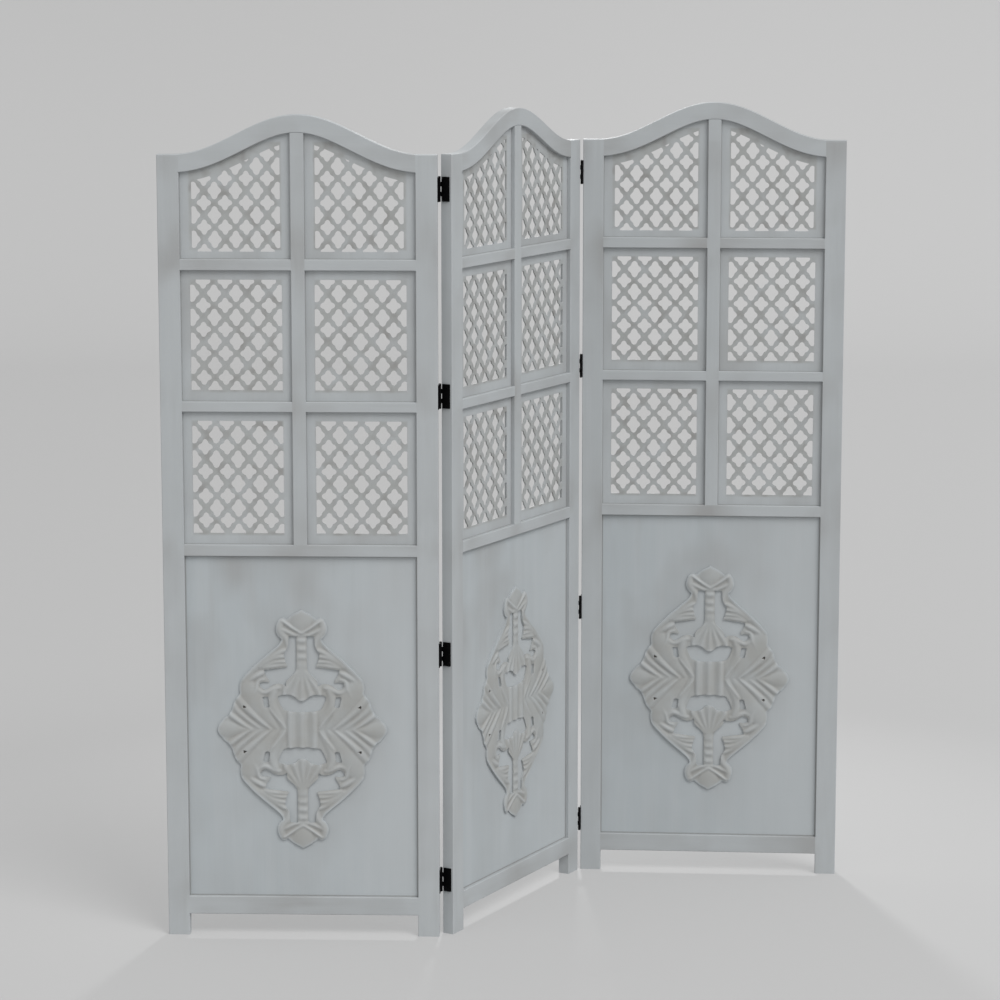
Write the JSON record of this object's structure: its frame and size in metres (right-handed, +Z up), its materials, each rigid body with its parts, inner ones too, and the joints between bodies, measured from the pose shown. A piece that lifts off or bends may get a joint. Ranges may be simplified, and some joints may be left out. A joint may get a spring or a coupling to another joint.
{
  "type": "folding screen",
  "caption": "Folding screen of hinged leaves with arched tops, pierced jali lattices above and solid panels with a carved medallion below.",
  "frame": {"origin": "on the floor, at the middle of the footprint of the screen as it stands in its zigzag", "axes": "+Z up; +X along the row of leaves, from the left leaf to the right leaf; +Y from the carved front to the back"},
  "size_m": [1.4329, 0.5398, 1.7],
  "materials": {
    "frame_wood": "pale grey lime wash, matt",
    "fretwork": "pale grey lime wash, matt",
    "field_panel": "pale grey wash, brushed, matt",
    "carving": "pale grey wash rubbed back to beige, matt",
    "black_iron": "black paint, satin"
  },
  "bodies": {
    "left_leaf": {"left_leaf_left_stile": "frame_wood", "left_leaf_right_stile": "frame_wood", "left_leaf_top_rail": "frame_wood", "left_leaf_upper_rail": "frame_wood", "left_leaf_middle_rail": "frame_wood", "left_leaf_lock_rail": "frame_wood", "left_leaf_bottom_rail": "frame_wood", "left_leaf_mullion": "frame_wood", "left_leaf_jali_top_left": "fretwork", "left_leaf_jali_top_right": "fretwork", "left_leaf_jali_middle_left": "fretwork", "left_leaf_jali_middle_right": "fretwork", "left_leaf_jali_lower_left": "fretwork", "left_leaf_jali_lower_right": "fretwork", "left_leaf_field_panel": "field_panel", "left_leaf_medallion": "carving", "left_hinge_plates_left_leaf": "black_iron", "left_hinge_screws_left_leaf": "black_iron", "left_hinge_pins": "black_iron"},
    "middle_leaf": {"middle_leaf_left_stile": "frame_wood", "middle_leaf_right_stile": "frame_wood", "middle_leaf_top_rail": "frame_wood", "middle_leaf_upper_rail": "frame_wood", "middle_leaf_middle_rail": "frame_wood", "middle_leaf_lock_rail": "frame_wood", "middle_leaf_bottom_rail": "frame_wood", "middle_leaf_mullion": "frame_wood", "middle_leaf_jali_top_left": "fretwork", "middle_leaf_jali_top_right": "fretwork", "middle_leaf_jali_middle_left": "fretwork", "middle_leaf_jali_middle_right": "fretwork", "middle_leaf_jali_lower_left": "fretwork", "middle_leaf_jali_lower_right": "fretwork", "middle_leaf_field_panel": "field_panel", "middle_leaf_medallion": "carving", "left_hinge_plates_middle_leaf": "black_iron", "left_hinge_screws_middle_leaf": "black_iron", "right_hinge_plates_middle_leaf": "black_iron", "right_hinge_screws_middle_leaf": "black_iron"},
    "right_leaf": {"right_leaf_left_stile": "frame_wood", "right_leaf_right_stile": "frame_wood", "right_leaf_top_rail": "frame_wood", "right_leaf_upper_rail": "frame_wood", "right_leaf_middle_rail": "frame_wood", "right_leaf_lock_rail": "frame_wood", "right_leaf_bottom_rail": "frame_wood", "right_leaf_mullion": "frame_wood", "right_leaf_jali_top_left": "fretwork", "right_leaf_jali_top_right": "fretwork", "right_leaf_jali_middle_left": "fretwork", "right_leaf_jali_middle_right": "fretwork", "right_leaf_jali_lower_left": "fretwork", "right_leaf_jali_lower_right": "fretwork", "right_leaf_field_panel": "field_panel", "right_leaf_medallion": "carving", "right_hinge_plates_right_leaf": "black_iron", "right_hinge_screws_right_leaf": "black_iron", "right_hinge_pins": "black_iron"}
  },
  "joints": [
    {"name": "left_fold", "type": "hinge", "parent": "middle_leaf", "child": "left_leaf", "pos_m": [-0.14893, -0.24329, 0], "axis": [0, 0, 1], "range_deg": [-116.8, 63.2]},
    {"name": "right_fold", "type": "hinge", "parent": "middle_leaf", "child": "right_leaf", "pos_m": [0.14903, 0.24347, 0], "axis": [0, 0, 1], "range_deg": [-114.5, 65.5]}
  ]
}
